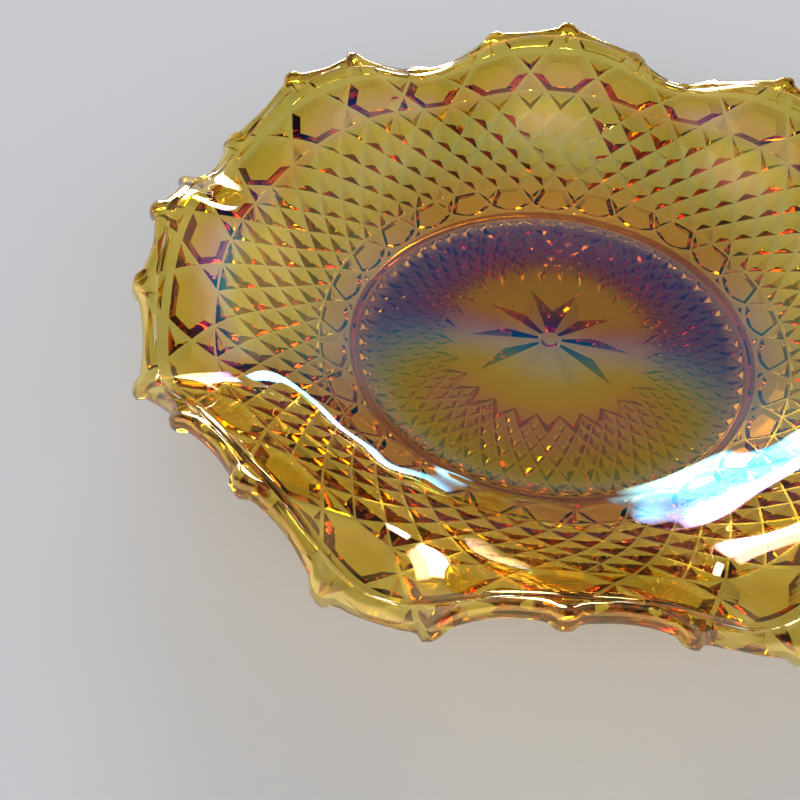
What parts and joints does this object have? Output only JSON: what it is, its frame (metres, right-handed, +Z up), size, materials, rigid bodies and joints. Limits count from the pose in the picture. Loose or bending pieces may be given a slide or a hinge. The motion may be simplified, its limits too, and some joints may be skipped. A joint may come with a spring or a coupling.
{
  "type": "ruffled glass bowl",
  "caption": "Shallow round pressed glass bowl with a ruffled pointed rim, a star in the floor, a band of hexagons and a diamond lattice on its outside, and a low foot ring.",
  "frame": {"origin": "on the table under the centre of the foot ring", "axes": "+Z up along the bowl's axis; +X through the middle of one gap between two hexagons"},
  "size_m": [0.2108, 0.2108, 0.0413],
  "materials": {
    "glass": "amber glass with an iridescent lustre film"
  },
  "bodies": {
    "root": {"star_medallion": "glass", "floor_disc": "glass", "foot_ring": "glass", "arch_band": "glass", "lattice_wall": "glass", "hexagon_band": "glass", "rim_lip": "glass"}
  },
  "joints": []
}
